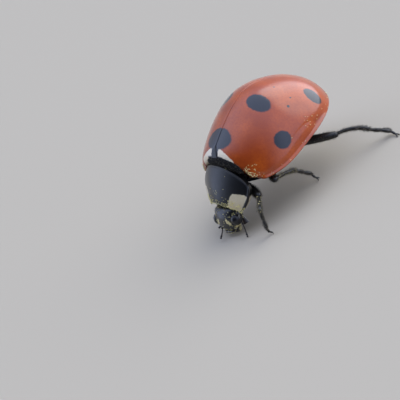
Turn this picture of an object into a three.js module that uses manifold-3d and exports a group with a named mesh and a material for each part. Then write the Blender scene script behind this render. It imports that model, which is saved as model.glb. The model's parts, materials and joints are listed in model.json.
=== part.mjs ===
// A seven-spot ladybird, life size, standing on a level floor with its head bent down.
// Millimetres, +Z up. The head faces -Y and the beetle's left side is +X.
// Points are worked out in the beetle's own frame, where the rim of the wing cases lies
// near z = 0 and their front edge near y = 0, and are then tipped on to the floor.
import * as THREE from 'three';
import { mergeVertices } from 'three/addons/utils/BufferGeometryUtils.js';
import Module from 'manifold-3d';

const wasm = await Module();
wasm.setup();

// Wing cases
const caseFront = -0.09;
const caseLength = 5.71;
const caseHalfWidth = 2.6;
const caseHeight = 2.48;
const caseWall = 0.5;
const widestAt = 0.447;
const highestAt = 0.49;
const frontWidthRatio = 0.65;
const frontHeightRatio = 0.517;
const frontWidthCurve = 2.39;
const rearWidthCurve = 2.44;
const rearHeightCurve = 0.74;
const crossCurve = 0.58;
const shoulder = 0.06;
const shoulderStart = 0.78;
const rimSag = 0.08;
const rimLift = 0.16;
const shoulderRoll = 0.135;
const shoulderRollAt = 0.915;
const shoulderRollWidth = 0.075;
const shoulderRollFade = 0.06;
const shoulderRollFall = 1.7;
const sutureGap = 0.02;

// Clearance between neighbours, and the edges of the tucked-in trunk
const clearance = 0.03;
const trunkInset = caseWall + clearance;
const bellyDepth = 0.36;
const trunkWaist = 0.28;
const trunkWaistReach = 0.06;
const neckPlane = -0.12;
const scutellumSlope = 1.1;

// Front of the body: the shield is turned a little to the beetle's right
const shieldTurn = -6.5;
const shieldSlope = 51.6;
const shieldOrigin = [0.01, -0.24, 1.1];
const shieldHalfWidth = 1.74;
const shieldFrontHalfWidth = 1.17;
const shieldLength = 1.65;
const shieldHindCorner = 0.61;
const shieldFrontCorner = 1.9;
const shieldEdgeDrop = 0.53;
const shieldCrown = 0.12;
const shieldWall = 0.48;
const headSlope = 79;
const headRoll = 3;
const headOrigin = [0, -1.14, -1.07];

// Stance
const bodyPitch = 4.29;
const bodyLift = 1.8386;

const degrees = Math.PI / 180;
const vec = (x, y, z) => new THREE.Vector3(x, y, z);

function material(color, roughness, metalness = 0) {
  return new THREE.MeshStandardMaterial({ color, roughness, metalness });
}

const materials = {
  wingCase: material('#b8461a', 0.22),
  cuticle: material('#15151b', 0.3),
  leg: material('#1a1918', 0.42),
  eye: material('#0d0c10', 0.2),
};

// Frames

function toFloor(point) {
  return point.applyAxisAngle(vec(1, 0, 0), bodyPitch * degrees).add(vec(0, 0, bodyLift));
}

function tiltedFrame(turn, slope, roll, origin) {
  const frame = new THREE.Matrix4().makeRotationZ(turn * degrees);
  frame.multiply(new THREE.Matrix4().makeRotationX(slope * degrees));
  frame.multiply(new THREE.Matrix4().makeRotationZ(roll * degrees));
  frame.setPosition(...origin);
  return (x, forward, up) => toFloor(vec(x, -forward, up).applyMatrix4(frame));
}

const inShield = tiltedFrame(shieldTurn, shieldSlope, 0, shieldOrigin);
const inHead = tiltedFrame(0, headSlope, headRoll, headOrigin);
const inBody = (x, y, z) => toFloor(vec(x, y, z));

// Closed solids from grids of points

class Builder {
  constructor() {
    this.points = [];
    this.faces = [];
  }

  add(point) {
    this.points.push(point.x, point.y, point.z);
    return this.points.length / 3 - 1;
  }

  quad(a, b, c, d) {
    this.faces.push(a, b, c, a, c, d);
  }

  solid() {
    const geometry = new THREE.BufferGeometry();
    geometry.setAttribute('position', new THREE.Float32BufferAttribute(this.points, 3));
    geometry.setIndex(this.faces);
    return toManifold(geometry);
  }
}

function toManifold(geometry) {
  geometry.deleteAttribute('normal');
  geometry.deleteAttribute('uv');
  const merged = mergeVertices(geometry, 1e-4);
  const index = merged.index.array;
  const kept = [];
  for (let i = 0; i < index.length; i += 3) {
    const [a, b, c] = [index[i], index[i + 1], index[i + 2]];
    if (a !== b && b !== c && a !== c) {
      kept.push(a, b, c);
    }
  }
  const mesh = new wasm.Mesh({
    numProp: 3,
    vertProperties: new Float32Array(merged.attributes.position.array),
    triVerts: new Uint32Array(kept),
  });
  const body = new wasm.Manifold(mesh);
  return body.volume() < 0 ? flipped(mesh) : body;
}

function flipped(mesh) {
  const triVerts = mesh.triVerts.slice();
  for (let i = 0; i < triVerts.length; i += 3) {
    [triVerts[i], triVerts[i + 1]] = [triVerts[i + 1], triVerts[i]];
  }
  return new wasm.Manifold(
    new wasm.Mesh({ numProp: 3, vertProperties: mesh.vertProperties, triVerts }),
  );
}

// Rings of points joined in order, closed by a fan at each end.
function loft(rings) {
  const builder = new Builder();
  const rows = rings.map((ring) => ring.map((point) => builder.add(point)));
  const count = rows[0].length;
  for (let i = 0; i + 1 < rows.length; i += 1) {
    for (let j = 0; j < count; j += 1) {
      const k = (j + 1) % count;
      builder.quad(rows[i][j], rows[i][k], rows[i + 1][k], rows[i + 1][j]);
    }
  }
  const ends = [
    [rings[0], rows[0], true],
    [rings.at(-1), rows.at(-1), false],
  ];
  for (const [ring, row, first] of ends) {
    const middle = vec(0, 0, 0);
    ring.forEach((point) => middle.addScaledVector(point, 1 / count));
    const hub = builder.add(middle);
    for (let j = 0; j < count; j += 1) {
      const k = (j + 1) % count;
      builder.faces.push(...(first ? [hub, row[k], row[j]] : [hub, row[j], row[k]]));
    }
  }
  return builder.solid();
}

// Two grids of the same size joined round their edges into a curved plate.
function plate(outer, inner) {
  const builder = new Builder();
  const upper = outer.map((row) => row.map((point) => builder.add(point)));
  const lower = inner.map((row) => row.map((point) => builder.add(point)));
  const rows = upper.length - 1;
  const columns = upper[0].length - 1;
  for (let i = 0; i < rows; i += 1) {
    for (let j = 0; j < columns; j += 1) {
      builder.quad(upper[i][j], upper[i + 1][j], upper[i + 1][j + 1], upper[i][j + 1]);
      builder.quad(lower[i][j], lower[i][j + 1], lower[i + 1][j + 1], lower[i + 1][j]);
    }
    builder.quad(upper[i + 1][0], upper[i][0], lower[i][0], lower[i + 1][0]);
    builder.quad(upper[i][columns], upper[i + 1][columns], lower[i + 1][columns], lower[i][columns]);
  }
  for (let j = 0; j < columns; j += 1) {
    builder.quad(upper[0][j], upper[0][j + 1], lower[0][j + 1], lower[0][j]);
    builder.quad(upper[rows][j + 1], upper[rows][j], lower[rows][j], lower[rows][j + 1]);
  }
  return builder.solid();
}

function steps(count, from = 0, to = 1) {
  return Array.from({ length: count + 1 }, (_, i) => from + ((to - from) * i) / count);
}

// A straight limb joint from a to b. The profile lists [share of length, half thickness].
function spindle(a, b, profile, { flat = 1, side = vec(0, 0, 1), sides = 7, grow = 0 } = {}) {
  const axis = b.clone().sub(a);
  const length = axis.length();
  axis.normalize();
  const across = axis.clone().cross(side).normalize();
  const up = across.clone().cross(axis);
  const last = profile.length - 1;
  const rings = profile.map(([share, radius], i) => {
    const shift = i === 0 ? -grow : i === last ? grow : 0;
    const centre = a.clone().addScaledVector(axis, share * length + shift);
    return Array.from({ length: sides }, (_, j) => {
      const turn = ((j + 0.5) / sides) * 2 * Math.PI;
      return centre
        .clone()
        .addScaledVector(across, Math.cos(turn) * (radius + grow))
        .addScaledVector(up, Math.sin(turn) * (radius * flat + grow));
    });
  });
  return loft(rings);
}

// Trunk and wing cases

function caseHalfWidthAt(t) {
  const ahead = Math.max(0, 1 - t / widestAt) ** frontWidthCurve * (1 - frontWidthRatio ** 2);
  const behind = Math.max(0, (t - widestAt) / (1 - widestAt)) ** rearWidthCurve;
  return caseHalfWidth * Math.sqrt(Math.max(0, 1 - ahead - behind));
}

function caseHeightAt(t) {
  const ahead = Math.max(0, 1 - t / highestAt) ** 2 * (1 - frontHeightRatio ** 2);
  const back = Math.max(0, (t - highestAt) / (1 - highestAt));
  const behind = (back ** 2 * (1 + rearHeightCurve)) / (back + rearHeightCurve);
  return caseHeight * Math.sqrt(Math.max(0, 1 - ahead - behind));
}

// The rim sags under the flank and lifts towards the shoulder.
const rimAt = (t) => rimLift * Math.exp(-((t / 0.09) ** 2)) - rimSag * Math.exp(-(((t - 0.25) / 0.16) ** 2));

// How far the front edge rolls forward at the shoulder.
function rollAt(t, f) {
  const away = (Math.abs(f) - shoulderRollAt) / shoulderRollWidth;
  return shoulderRoll * Math.exp(-away * away - t / shoulderRollFade);
}

// The front edge curves back at its outer corners, so that the shoulders are round.
function casePoint(t, f, inset) {
  const corner = shoulder * Math.max(0, (Math.abs(f) - shoulderStart) / (1 - shoulderStart)) ** 2;
  const share = corner + (1 - corner) * t;
  const section = Math.max(0, 1 - f * f) ** crossCurve;
  const x = caseHalfWidthAt(share) * f * (1 - inset / caseHalfWidth);
  const y = caseFront + (caseLength - inset) * share;
  const z = caseHeightAt(share) * section * (1 - inset / caseHeight) + rimAt(share);
  const roll = rollAt(t, f);
  return [x, y - roll, z - shoulderRollFall * roll];
}

function wingCase(side) {
  const along = steps(17).map((t) => 1 - (1 - t) ** 1.25);
  const across = steps(10).map((f) => Math.sin((f * Math.PI) / 2));
  const grid = (inset) => along.map((t) => across.map((f) => {
    const [x, y, z] = casePoint(t, f, inset);
    return inBody(side * Math.max(sutureGap / 2, x), y, z);
  }));
  return plate(grid(0), grid(caseWall));
}

function trunkSlice(from, to) {
  const across = steps(10, -1, 1).map((f) => Math.sin((f * Math.PI) / 2));
  const rings = steps(Math.max(2, Math.ceil((to - from) / 0.07)), from, to).map((t) => {
    const belly = bellyDepth * Math.sqrt(Math.max(0, 1 - (Math.abs(t - 0.35) / 0.66) ** 3));
    const waist = 1 - trunkWaist * Math.exp(-((t / trunkWaistReach) ** 2));
    const top = across.map((f) => casePoint(t, f, trunkInset));
    const bottom = across.slice(1, -1).reverse().map((f) => {
      const [x, y] = casePoint(t, f, trunkInset);
      return [x, y, rimAt(t) - belly * Math.sqrt(1 - f * f)];
    });
    return [...top, ...bottom].map(([x, y, z]) => inBody(x * waist, y, z));
  });
  return loft(rings);
}

function scutellum(grow) {
  const half = 0.24 + grow;
  const front = neckPlane - 0.03 - grow;
  const outline = [[-half, front], [half, front], [0, 0.26 + 1.6 * grow]];
  const level = (z) => outline.map(([x, y]) => inBody(x, y, z + scutellumSlope * y));
  return loft([level(0.8 - grow), level(1.37 + grow)]);
}

// Shield over the forebody

function shieldPoint(f, s, depth, grow) {
  const narrowing = 1 - shieldFrontHalfWidth / shieldHalfWidth;
  const front = Math.max(0, (s - 0.25) / 0.75) ** 1.7;
  const hind = Math.max(0, (0.25 - s) / 0.25) ** 2;
  const half = shieldHalfWidth * (1 - narrowing * front - 0.06 * hind);
  const a = Math.abs(f);
  const rear = shieldHindCorner * a ** 2.2;
  const fore = shieldLength + (shieldFrontCorner - shieldLength) * a ** 2.4;
  const crown = shieldCrown * 3.2 * s * (1 - s);
  const drop = (crown + shieldEdgeDrop) * a * a;
  const tuck = depth === 0 ? grow : -grow;
  const x = f * (half - 0.45 * depth) + Math.sign(f) * grow;
  const forward = rear + (fore - rear) * s + 0.25 * depth * (0.5 - s) + grow * (2 * s - 1);
  return inShield(x, forward, crown - drop - depth * (1 - 0.4 * a) + tuck);
}

function shield(grow = 0) {
  const grid = (depth) => steps(8).map((s) => steps(12, -1, 1).map((f) => shieldPoint(f, s, depth, grow)));
  return plate(grid(0), grid(shieldWall));
}

function forebody() {
  const rings = steps(9, -0.96, 0.96).map((u) => {
    const size = Math.sqrt(1 - u * u);
    return Array.from({ length: 16 }, (_, j) => {
      const turn = (j / 16) * 2 * Math.PI;
      return inShield(1.3 * size * Math.cos(turn), 0.82 + 0.78 * u, -0.58 + 0.62 * size * Math.sin(turn));
    });
  });
  return loft(rings);
}

// Head: rings down the face give [distance down, half width, front, back].
const headRings = [
  [-0.62, 0.44, 0.14, -0.24],
  [-0.52, 0.66, 0.28, -0.36],
  [-0.3, 0.8, 0.42, -0.42],
  [-0.05, 0.82, 0.48, -0.42],
  [0.16, 0.76, 0.48, -0.34],
  [0.3, 0.62, 0.44, -0.2],
  [0.4, 0.44, 0.38, -0.02],
];

function head() {
  return loft(headRings.map(([down, half, front, back]) => {
    return Array.from({ length: 18 }, (_, j) => {
      const turn = (j / 18) * 2 * Math.PI;
      const depth = (front - back) / 2;
      const bulge = Math.sign(Math.sin(turn)) * Math.abs(Math.sin(turn)) ** 0.85;
      return inHead(half * Math.cos(turn), down, (front + back) / 2 + depth * bulge);
    });
  }));
}

function eye(side, grow = 0) {
  const profile = [[0, 0.1], [0.18, 0.2], [0.5, 0.27], [0.82, 0.2], [1, 0.1]];
  const low = inHead(side * 0.65, 0.23, 0.15);
  const high = inHead(side * 0.65, -0.29, 0.15);
  return spindle(low, high, profile, { sides: 10, grow });
}

function labrum(grow = 0) {
  const profile = [[0, 0.14], [0.12, 0.19], [0.88, 0.19], [1, 0.14]];
  return spindle(inHead(-0.3, 0.47, 0.28), inHead(0.3, 0.47, 0.28), profile, { flat: 0.7, grow });
}

function mandible(side, grow = 0) {
  const profile = [[0, 0.16], [0.5, 0.16], [1, 0.09]];
  return spindle(inHead(side * 0.38, 0.34, 0), inHead(side * 0.1, 0.5, 0.04), profile, { sides: 6, grow });
}

const feelerRadius = 0.2;

function antenna(side, path, grow = 0) {
  const points = path.map(([x, down, out]) => inHead(side * x, down, out));
  const thin = [[0, 0.14], [0.14, feelerRadius], [0.86, feelerRadius], [1, 0.14]];
  const club = [[0, 0.15], [0.3, 0.21], [0.75, 0.23], [1, 0.14]];
  const stalk = spindle(points[0], points[1], thin, { sides: 7, grow });
  return stalk.add(spindle(points[1], points[2], club, { sides: 7, grow }));
}

function palp(side, path, grow = 0) {
  const points = path.map(([x, down, out]) => inHead(side * x, down, out));
  const thin = [[0, 0.13], [0.2, 0.16], [1, 0.17]];
  const hatchet = [[0, 0.15], [0.8, 0.21], [1, 0.16]];
  const stalk = spindle(points[0], points[1], thin, { sides: 6, grow });
  return stalk.add(spindle(points[1], points[2], hatchet, { sides: 6, flat: 0.8, grow }));
}

const antennaPaths = {
  left: [[0.62, 0.12, 0.02], [0.84, 0.34, 0.1], [1.1, 0.47, 0.34]],
  right: [[0.44, 0.18, 0.34], [0.38, 0.36, 0.48], [0.24, 0.46, 0.82]],
};
const palpPaths = {
  left: [[0.5, 0.06, -0.18], [0.68, 0.06, -0.16], [0.92, 0.26, -0.14]],
  right: [[0.42, 0.24, -0.02], [0.64, 0.28, 0.04], [0.84, 0.38, 0.16]],
};

// Legs: joints in the beetle's frame, with x counted outward on each side. The foot is on the floor.
const legs = {
  front_left: {
    coxa: [0.46, -0.08, -0.36],
    hip: [0.68, 0.1, -0.42],
    knee: [1.7, -0.34, -0.4],
    ankle: [2.39, -1.04, -0.53],
    bend: [2.29, -1.235, -1.38],
    foot: [2.3, -1.09],
  },
  front_right: {
    coxa: [0.46, -0.08, -0.36],
    hip: [0.68, 0.1, -0.42],
    knee: [1.46, -0.14, -0.5],
    ankle: [1.18, -0.62, -1.1],
    bend: [1.12, -0.86, -1.5],
    foot: [1.08, -0.92],
  },
  middle_left: {
    coxa: [0.6, 1.2, -0.16],
    hip: [0.88, 1.12, -0.36],
    knee: [2.1, 0.51, -0.28],
    ankle: [1.785, 1.69, -0.93],
    bend: [1.8, 2.19, -1.59],
    foot: [1.91, 2.37],
  },
  middle_right: {
    coxa: [0.6, 1.2, -0.16],
    hip: [0.88, 1.12, -0.36],
    knee: [2.2, 0.7, -0.3],
    ankle: [2.1, 1.5, -0.9],
    bend: [2.3, 1.85, -1.55],
    foot: [2.4, 1.95],
  },
  hind_left: {
    coxa: [0.66, 2.5, -0.16],
    hip: [0.97, 2.58, -0.36],
    knee: [2.36, 3.93, -0.95],
    ankle: [3.24, 4.9, -1.53],
    bend: [3.66, 5.43, -2.05],
    foot: [4.13, 5.5],
  },
  hind_right: {
    coxa: [0.66, 2.5, -0.16],
    hip: [0.97, 2.58, -0.36],
    knee: [2.2, 3.8, -0.8],
    ankle: [2.9, 4.55, -1.5],
    bend: [3.3, 5.0, -2.0],
    foot: [3.55, 5.05],
  },
};
const thighRadius = { front: 0.27, middle: 0.27, hind: 0.29 };
const thighProfile = (r) => [[0, 0.7 * r], [0.12, 0.95 * r], [0.5, r], [0.85, 0.9 * r], [1, 0.6 * r]];
const shinProfile = [[0, 0.16], [0.12, 0.23], [0.6, 0.24], [0.92, 0.25], [1, 0.18]];
const footProfile = [[0, 0.15], [0.14, 0.22], [0.5, 0.25], [0.6, 0.22], [0.9, 0.24], [1, 0.17]];

function legPoints(name) {
  const side = name.endsWith('left') ? 1 : -1;
  const points = {};
  for (const [joint, [x, y, z = 0]] of Object.entries(legs[name])) {
    points[joint] = inBody(side * x, y, z);
  }
  points.foot.setZ(0);
  return points;
}

// The last joint with its claws, ending in a small flat on the floor.
function clawSolid(bend, foot, grow) {
  const top = bend.clone().lerp(foot, 0.1);
  const ring = (centre, r, z) => Array.from({ length: 8 }, (_, j) => {
    const turn = ((j + 0.5) / 8) * 2 * Math.PI;
    const point = centre.clone().add(vec((r + grow) * Math.cos(turn), (r + grow) * Math.sin(turn), 0));
    return z === null ? point : point.setZ(z);
  });
  return loft([ring(foot, 0.24, 0), ring(foot.clone().lerp(top, 0.4), 0.24, null), ring(top, 0.2, null)]);
}

// Leg joints in order from the body; each later joint is cut clear of the one before.
function legSolids(name) {
  const { coxa, hip, knee, ankle, bend, foot } = legPoints(name);
  const root = coxa.clone().lerp(hip, -0.35);
  const thigh = thighProfile(thighRadius[name.split('_')[0]]);
  const shapes = {
    coxa: (grow) => spindle(root, hip, [[0, 0.2], [0.3, 0.3], [0.7, 0.3], [1, 0.2]], { grow }),
    femur: (grow) => spindle(hip, knee, thigh, { grow }),
    tibia: (grow) => spindle(knee, ankle, shinProfile, { grow }),
    tarsus: (grow) => spindle(ankle, bend, footProfile, { grow }),
    claws: (grow) => clawSolid(bend, foot, grow),
  };
  const order = Object.keys(shapes);
  const parts = {};
  order.forEach((joint, i) => {
    parts[joint] = order.slice(0, i).reduce(
      (body, earlier) => body.subtract(shapes[earlier](clearance)),
      shapes[joint](0),
    );
  });
  const room = ['coxa', 'femur', 'tibia'].reduce(
    (body, joint) => body.add(shapes[joint](clearance)),
    shapes.coxa(clearance),
  );
  return { parts, room };
}

// Assembly

const sides = { left: 1, right: -1 };
const solids = new Map();
const put = (name, body, finish) => solids.set(name, { body, finish });

const trunkCuts = { mesothorax: [0, 0.1], metathorax: [0.104, 0.4] };
[0.404, 0.57, 0.68, 0.78, 0.88].forEach((from, i, starts) => {
  trunkCuts[`abdomen_${i + 1}`] = [from, i < 4 ? starts[i + 1] - 0.004 : 1];
});

const legSets = Object.keys(legs).map((name) => [name, legSolids(name)]);
const legRoom = legSets.map(([, { room }]) => room);
const clearOf = (body, others) => others.reduce((left, other) => left.subtract(other), body);
// What is left of a body in front of the neck plane.
const aheadOfNeck = (body) => {
  const normal = inBody(0, 1, 0).sub(inBody(0, 0, 0));
  const offset = inBody(0, neckPlane, 0).dot(normal);
  return body.trimByPlane([-normal.x, -normal.y, -normal.z], -offset);
};

for (const [sideName, side] of Object.entries(sides)) {
  const body = clearOf(wingCase(side), [scutellum(clearance), ...legRoom]);
  put(`elytron_${sideName}`, body, 'wingCase');
}
put('scutellum', scutellum(0), 'cuticle');
for (const [name, [from, to]] of Object.entries(trunkCuts)) {
  put(name, clearOf(trunkSlice(from, to), [scutellum(clearance), ...legRoom]), 'cuticle');
}

const mouth = [];
for (const [sideName, side] of Object.entries(sides)) {
  mouth.push(['eye', sideName, (grow) => eye(side, grow), 'eye']);
  mouth.push(['antenna', sideName, (grow) => antenna(side, antennaPaths[sideName], grow), 'leg']);
  mouth.push(['maxillary_palp', sideName, (grow) => palp(side, palpPaths[sideName], grow), 'leg']);
}
const headSolid = head();
const headCentre = inHead(0, 0, 0);
const headGrown = headSolid
  .translate(headCentre.clone().negate().toArray())
  .scale(1.05)
  .translate(headCentre.toArray());

put('pronotum', aheadOfNeck(clearOf(shield(), [headGrown])), 'cuticle');
put('prosternum', aheadOfNeck(clearOf(forebody(), [shield(clearance), headGrown, ...legRoom])), 'cuticle');

const placed = [labrum(clearance)];
put('labrum', labrum(), 'cuticle');
for (const [part, sideName, make, finish] of mouth) {
  put(`${part}_${sideName}`, clearOf(make(0), placed), finish);
  placed.push(make(clearance));
}
for (const [sideName, side] of Object.entries(sides)) {
  put(`mandible_${sideName}`, clearOf(mandible(side), placed), 'cuticle');
  placed.push(mandible(side, clearance));
}
put('head', clearOf(headSolid, placed), 'cuticle');

for (const [name, { parts }] of legSets) {
  const [pair, sideName] = name.split('_');
  for (const [joint, body] of Object.entries(parts)) {
    put(`${pair}_${joint}_${sideName}`, body, 'leg');
  }
}

function toMesh(name, { body, finish }) {
  const pieces = body.decompose();
  const whole = pieces.reduce((best, piece) => (piece.volume() > best.volume() ? piece : best));
  const { vertProperties, triVerts, numProp } = whole.getMesh();
  const geometry = new THREE.BufferGeometry();
  const points = new THREE.InterleavedBuffer(vertProperties, numProp);
  const position = new THREE.Float32BufferAttribute(points.count * 3, 3);
  for (let i = 0; i < points.count; i += 1) {
    position.setXYZ(i, ...vertProperties.slice(i * numProp, i * numProp + 3));
  }
  geometry.setAttribute('position', position);
  geometry.setIndex([...triVerts]);
  geometry.computeBoundingBox();
  const centre = geometry.boundingBox.getCenter(vec(0, 0, 0));
  geometry.translate(-centre.x, -centre.y, -centre.z);
  const flat = geometry.toNonIndexed();
  flat.computeVertexNormals();
  const mesh = new THREE.Mesh(flat, materials[finish]);
  mesh.name = name;
  mesh.position.copy(centre);
  return mesh;
}

const group = new THREE.Group();
group.name = 'ladybird';
solids.forEach((entry, name) => group.add(toMesh(name, entry)));

const box = new THREE.Box3().setFromObject(group);
const middle = box.getCenter(vec(0, 0, 0));
for (const mesh of group.children) {
  mesh.position.sub(vec(middle.x, middle.y, box.min.z));
}

export default group;
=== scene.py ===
"""A seven-spot ladybird at life size, head down and legs spread, on a plain pale floor.

Lengths are in millimetres in the beetle's own frame: the rim of the wing cases lies near z = 0,
their front edge near y = 0, the head faces -Y and the beetle's left side is +X. The shield behind
the head and the head itself have tilted frames of their own. Matrices set each piece on the floor
in metres, so a finish reads its patterns in millimetres from the piece's own coordinates.
"""

import json
import math

import bmesh
import bpy
import numpy as np
from mathutils import Matrix, Vector


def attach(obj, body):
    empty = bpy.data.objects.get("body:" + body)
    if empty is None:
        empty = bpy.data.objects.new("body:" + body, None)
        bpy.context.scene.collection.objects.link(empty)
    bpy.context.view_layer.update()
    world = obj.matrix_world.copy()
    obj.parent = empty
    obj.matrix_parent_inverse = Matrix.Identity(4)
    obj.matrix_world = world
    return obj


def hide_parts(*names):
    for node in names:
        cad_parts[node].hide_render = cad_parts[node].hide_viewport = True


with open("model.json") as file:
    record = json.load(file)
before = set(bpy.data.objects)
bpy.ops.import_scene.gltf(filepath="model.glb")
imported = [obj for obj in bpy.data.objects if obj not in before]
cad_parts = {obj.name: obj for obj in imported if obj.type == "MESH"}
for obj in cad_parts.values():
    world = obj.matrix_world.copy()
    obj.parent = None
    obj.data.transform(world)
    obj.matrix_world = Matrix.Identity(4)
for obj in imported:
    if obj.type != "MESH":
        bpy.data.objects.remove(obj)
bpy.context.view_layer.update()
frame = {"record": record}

MILLIMETRE = 0.001

# Sign of x on each side
sides = {"left": 1, "right": -1}

# Wing cases
case_front = -0.09
case_length = 5.71
case_half_width = 2.6
case_height = 2.48
widest_at = 0.447
highest_at = 0.49
front_width_ratio = 0.65
front_height_ratio = 0.517
front_width_curve = 2.39
rear_width_curve = 2.44
rear_height_curve = 0.74
cross_curve = 0.58
shoulder = 0.06
shoulder_start = 0.78
rim_sag = 0.08
rim_sag_at = 0.25
rim_sag_reach = 0.16
rim_lift = 0.16
rim_lift_reach = 0.09
shoulder_roll = 0.1
shoulder_roll_at = 0.945
shoulder_roll_width = 0.05
shoulder_roll_fade = 0.06
shoulder_roll_fall = 1.7
suture_gap = 0.012
shell = 0.1
front_lip = 0.5
front_rounding = 0.1
seam_rounding = 0.04
fold_width = 0.47
fold_height = 0.07
margin_bead = 0.045
margin_flare = 0.19
margin_turn = 0.12
margin_fall = 0.9
margin_end = 0.65

# Trunk under the wing cases
trunk_inset = 0.53
trunk_waist = 0.28
trunk_waist_length = 0.06
belly_depth = 0.36
belly_deepest = 0.35
belly_reach = 0.66

# Collar, which follows the front edge of the wing cases between two shares of their half width
collar_start = -0.34
collar_end = 0.8
collar_sunk = (0, 0.05, 0.2)
collar_half = 0.19

# Scutellum, the small triangle between the roots of the wing cases
scutellum_half = 0.24
scutellum_front = -0.15
scutellum_tip = 0.26
scutellum_thickness = 0.15

# Shield behind the head
shield_turn = -6.5
shield_slope = 51.6
shield_origin = (0.01, -0.24, 1.1)
shield_half_width = 1.74
shield_widest_at = 0.25
shield_front_half_width = 1.17
shield_length = 1.65
shield_hind_corner = 0.61
shield_front_corner = 1.9
shield_edge_drop = 0.53
shield_crown = 0.096
shield_wall = 0.43
shield_bead = 0.014
shield_groove = 0.012
bead_half = 0.02
shield_corner = 0.16

# Prosternum, in the shield's frame
prosternum_centre = (0, -0.82, -0.58)
prosternum_half_axes = (1.3, 0.78, 0.62)
keel_height = 0.05
keel_half = 0.16

# Head
head_slope = 79
head_roll = 3
head_origin = (0, -1.14, -1.07)
eye_centre = (0.62, 0.03, 0.15)
eye_half_axes = (0.225, 0.26, 0.25)

# Spacing of the rows of lenses, as angles in radians
lens_angle_across = 0.128
lens_angle_along = 0.032 / 0.28

# Stance
body_pitch = math.radians(4.29)
body_lift = 1.8386
front_foot = (2.3, -1.09)


# Frames


def beetle_frame():
    """Tips the beetle's own frame on to the floor; the flat under the left front claws says where."""
    tipped = Matrix.Rotation(body_pitch, 4, "X")
    foot = tipped @ Vector((*front_foot, 0))
    flat = Vector(frame["record"]["mounts"][0]["pos_m"]) / MILLIMETRE
    shift = Vector((flat.x - foot.x, flat.y - foot.y, body_lift))
    return Matrix.Scale(MILLIMETRE, 4) @ Matrix.Translation(shift) @ tipped


def tilted_frame(turn, slope, roll, origin):
    turned = Matrix.Rotation(math.radians(turn), 4, "Z")
    sloped = Matrix.Rotation(math.radians(slope), 4, "X")
    rolled = Matrix.Rotation(math.radians(roll), 4, "Z")
    return Matrix.Translation(origin) @ turned @ sloped @ rolled


beetle = beetle_frame()
in_shield = tilted_frame(shield_turn, shield_slope, 0, shield_origin)
in_head = tilted_frame(0, head_slope, head_roll, head_origin)


# Meshes


class Shape:
    """Points and faces of one piece, gathered from grids of points."""

    def __init__(self):
        self.points = []
        self.faces = []

    def add(self, points):
        """Adds points and gives their numbers in the same layout."""
        first = sum(len(some) for some in self.points)
        self.points.append(np.reshape(points, (-1, 3)))
        numbers = np.arange(first, first + len(self.points[-1]))
        return numbers.reshape(np.shape(points)[:-1])

    def join(self, rows):
        """Squares between neighbouring rows of point numbers."""
        corners = (rows[:-1, :-1], rows[:-1, 1:], rows[1:, 1:], rows[1:, :-1])
        self.faces += np.stack(corners, axis=-1).reshape(-1, 4).tolist()

    def loft(self, rings):
        """A closed form through rings of points, with a fan over each end."""
        rows = self.add(rings)
        self.join(np.concatenate([rows, rows[:, :1]], axis=1))
        for end in (0, -1):
            hub = self.add(np.mean(rings[end], axis=0))
            around = np.roll(rows[end], -1)
            self.faces += [[int(hub), int(a), int(b)] for a, b in zip(rows[end], around)]
        return rows

    def plate(self, outer, inner):
        """Two grids of the same size, joined round their edges."""
        upper = self.add(outer)
        lower = self.add(inner)
        self.join(upper)
        self.join(lower)
        for cut in ((0, slice(None)), (-1, slice(None)), (slice(None), 0), (slice(None), -1)):
            self.join(np.stack([upper[cut], lower[cut]]))


def make_piece(name, shape, finish, replaces=(), place=None):
    """A piece made from a shape, which stands for some nodes of the frame."""
    mesh = bpy.data.meshes.new(name)
    mesh.from_pydata(np.concatenate(shape.points).tolist(), [], shape.faces)
    tidy = bmesh.new()
    tidy.from_mesh(mesh)
    bmesh.ops.remove_doubles(tidy, verts=tidy.verts, dist=1e-5)
    bmesh.ops.recalc_face_normals(tidy, faces=tidy.faces)
    tidy.to_mesh(mesh)
    tidy.free()
    put_in_scene(name, mesh, finish, place, replaces)


def put_in_scene(name, mesh, finish, place, replaces=()):
    """Sets a smooth mesh on the floor as an object that rides on the frame."""
    mesh.shade_smooth()
    mesh.materials.append(finish)
    piece = bpy.data.objects.new(name, mesh)
    bpy.context.scene.collection.objects.link(piece)
    piece.matrix_world = beetle @ (place or Matrix.Identity(4))
    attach(piece, "root")
    if replaces:
        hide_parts(*replaces)


def scatter(grid, count, chance, weight=1.0):
    """Random places on a grid of points: roots, ways outward and along, and places on its unwrap."""
    along = np.gradient(grid, axis=0)
    out = np.cross(along, np.gradient(grid, axis=1))
    area = np.linalg.norm(out, axis=-1)
    out *= np.sign(((grid - grid.mean(axis=1, keepdims=True)) * out).sum())
    share = np.ravel(area * weight)
    rows, columns = np.unravel_index(chance.choice(area.size, count, p=share / share.sum()), area.shape)
    a, b = chance.random((2, count, 1))
    here = grid[rows, columns]
    further = grid[np.minimum(rows + 1, area.shape[0] - 1), columns]
    beside = grid[rows, np.minimum(columns + 1, area.shape[1] - 1)]
    roots = here + (further - here) * a + (beside - here) * b
    unwrap = np.stack([(columns + b[:, 0]) / area.shape[1], (rows + a[:, 0]) / area.shape[0]], axis=-1)
    return roots, unit(out[rows, columns]), unit(along[rows, columns]), unwrap


def unit(ways):
    return ways / np.maximum(np.linalg.norm(ways, axis=-1, keepdims=True), 1e-12)


# Half width of the patch that each tuft is drawn on, as a share of the unwrap.
patch_half = 0.0015


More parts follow.
